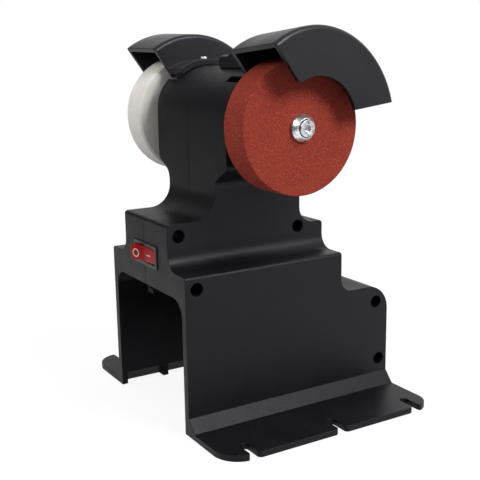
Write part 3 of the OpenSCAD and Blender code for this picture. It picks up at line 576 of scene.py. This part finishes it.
def make_rocker():
    """The rocker with rounded edges and a softly hollow front, its pin and its marks."""
    joint = next(row for row in frame["joints"] if row["name"] == "rocker_tilt")
    placed = (Matrix.Translation(Vector(joint["pos_m"]))
              @ Matrix.Rotation(ROCKER_TILT, 4, "Z") @ Matrix.Scale(MM, 4))
    front = [-ROCKER_HALF + 2 * ROCKER_HALF * i / ROCKER_STEPS for i in range(ROCKER_STEPS + 1)]
    outline = [(x, rocker_front(x)) for x in front] + [
        (ROCKER_HALF, ROCKER_END_Y), (ROCKER_BACK_X, ROCKER_BACK_Y),
        (-ROCKER_BACK_X, ROCKER_BACK_Y), (-ROCKER_HALF, ROCKER_END_Y),
    ]
    work = bmesh.new()
    prism(work, outline, ROCKER_HEIGHT / 2)
    edges = [edge for edge in work.edges if edge.calc_face_angle(0) > ROCKER_ROUND_FROM]
    # The pin comes before the rounding, so that the faces have the same order each run
    prism(work, circle(PIN_RADIUS, PIN_SIDES), ROCKER_HEIGHT / 2 + PIN_PROUD)
    bmesh.ops.bevel(work, geom=edges, offset=ROCKER_ROUND, segments=ROCKER_ROUND_STEPS,
                    profile=0.5, affect="EDGES", clamp_overlap=True)
    work.transform(placed)
    new_piece("rocker_cap", work, "rocker", "switch_red", ["switch_rocker"])
    ring = [circle(radius, OFF_SIDES, OFF_MIDDLE) for radius in (OFF_OUTER, OFF_INNER)]
    mark("off_mark", ring, placed)
    dash = [(ON_X + a * ON_LONG, ON_Z + b * ON_THICK) for a, b in ON_PLACES]
    mark("on_mark", [dash], placed)


# Stage, in metres. The white sweep that gloss and metal mirror ends on one side, towards a
# darker room: the side, and how white the sweep is in full and at its end.
ROOM_SIDE = (-0.5, -0.866, 0.0)
SWEEP_FULL, SWEEP_END = 1.0, 0.12

# How far to that side it starts and stops to fade, on the floor and as a direction
FADE_ON_FLOOR, FADE_IN_WORLD = (0.05, 0.50), (-0.1, 0.75)

# The floor's half width, and its colour as it lights the object and as it is seen
FLOOR_HALF = 3.0
FLOOR_GREY, FLOOR_WHITE = (0.30, 0.30, 0.30), (0.90, 0.90, 0.90)

# How much of it glows for the camera, at a near and a far distance, and for gloss
GLOW_DISTANCES, GLOWS, GLOW_IN_GLOSS = (0.3, 0.9), (0.91, 1.0), 0.3

# The strength of the world's light, and the least that gloss mirrors
WORLD_LIGHT, WORLD_IN_GLOSS = 0.28, 0.10

# Each lamp's place, aim, width in metres, power in watts, and whether gloss mirrors it
LAMPS = {
    "key": ((0.90, 0.30, 0.86), (0, 0, 0.14), 0.45, 12, True),
    "front": ((0.20, -0.85, 0.85), (0, 0, 0.13), 0.5, 3.7, True),
    "left": ((-1.10, -0.10, 0.95), (0, 0, 0.13), 0.8, 11, False),
    "back": ((0.00, 1.15, 0.95), (0, 0, 0.13), 0.8, 6, False),
    "low": ((-0.42, -0.45, 0.04), (-0.07, -0.02, 0.17), 0.3, 1.25, False),
}


def ray_kinds(tree):
    """Light path sockets: seen by the camera, and seen in metal, gloss or glass."""
    path = add(tree, "ShaderNodeLightPath").outputs
    shiny = reckon(tree, "MAXIMUM", path["Is Glossy Ray"], path["Is Transmission Ray"])
    return path["Is Camera Ray"], shiny


def sweep(tree, place, fade):
    """How white the sweep is at a place or in a direction."""
    side = vector(tree, "DOT_PRODUCT", {0: place, 1: ROOM_SIDE}, "Value")
    return fit(tree, side, *fade, SWEEP_FULL, SWEEP_END)


def make_floor():
    """A pale floor that the camera sees as nearly white, with the object's shadow on it."""
    mesh = bpy.data.meshes.new("floor")
    corners = [(x * FLOOR_HALF, y * FLOOR_HALF, 0) for x, y in ((-1, -1), (1, -1), (1, 1), (-1, 1))]
    mesh.from_pydata(corners, [], [(0, 1, 2, 3)])
    floor = bpy.data.objects.new("floor", mesh)
    scene.collection.objects.link(floor)
    material = bpy.data.materials.new("floor")
    tree = empty_tree(material)
    camera, shiny = ray_kinds(tree)
    place = add(tree, "ShaderNodeTexCoord").outputs["Object"]
    fade = product(tree, shiny, sweep(tree, place, FADE_ON_FLOOR))
    pale = mix(tree, reckon(tree, "MAXIMUM", camera, fade), FLOOR_GREY, FLOOR_WHITE)
    away = vector(tree, "LENGTH", {0: place}, "Value")
    seen = product(tree, camera, fit(tree, away, *GLOW_DISTANCES, *GLOWS))
    glow = reckon(tree, "MAXIMUM", seen, product(tree, fade, GLOW_IN_GLOSS))
    plain = add(tree, "ShaderNodeBsdfDiffuse", {"Color": pale})
    white = add(tree, "ShaderNodeEmission", {"Color": (1, 1, 1, 1), "Strength": 1.0})
    both = add(tree, "ShaderNodeMixShader", {0: glow, 1: plain.outputs[0], 2: white.outputs[0]})
    add(tree, "ShaderNodeOutputMaterial", {"Surface": both.outputs[0]})
    mesh.materials.append(material)


def make_world():
    """Plain white for the camera, the sweep for gloss, and soft light for all else."""
    world = bpy.data.worlds.new("studio")
    scene.world = world
    tree = empty_tree(world)
    camera, shiny = ray_kinds(tree)
    direction = add(tree, "ShaderNodeTexCoord").outputs["Generated"]
    fade = product(tree, shiny, sweep(tree, direction, FADE_IN_WORLD))
    least = reckon(tree, "SUBTRACT", WORLD_LIGHT,
                   product(tree, shiny, WORLD_LIGHT - WORLD_IN_GLOSS))
    strength = reckon(tree, "MAXIMUM", reckon(tree, "MAXIMUM", camera, fade), least)
    back = add(tree, "ShaderNodeBackground", {"Color": (1, 1, 1, 1), "Strength": strength})
    add(tree, "ShaderNodeOutputWorld", {"Surface": back.outputs[0]})


def make_lamp(name, place, aim, width, power, mirrored):
    """A square lamp that shines from its place to its aim."""
    data = bpy.data.lights.new(name, "AREA")
    data.size, data.energy = width, power
    lamp = bpy.data.objects.new(name, data)
    lamp.location = place
    lamp.rotation_euler = (Vector(aim) - Vector(place)).to_track_quat("-Z", "Y").to_euler()
    lamp.visible_glossy = mirrored
    scene.collection.objects.link(lamp)


make_rocker()
pieces = {**frame["nodes"], "guard_right_moulding": make_right_guard()}
for name, width_mm in SOFT_EDGES.items():
    soften(pieces[name], width_mm)
make_camera()
make_floor()
make_world()
for name, values in LAMPS.items():
    make_lamp(name, *values)
scene.view_settings.view_transform = "Standard"
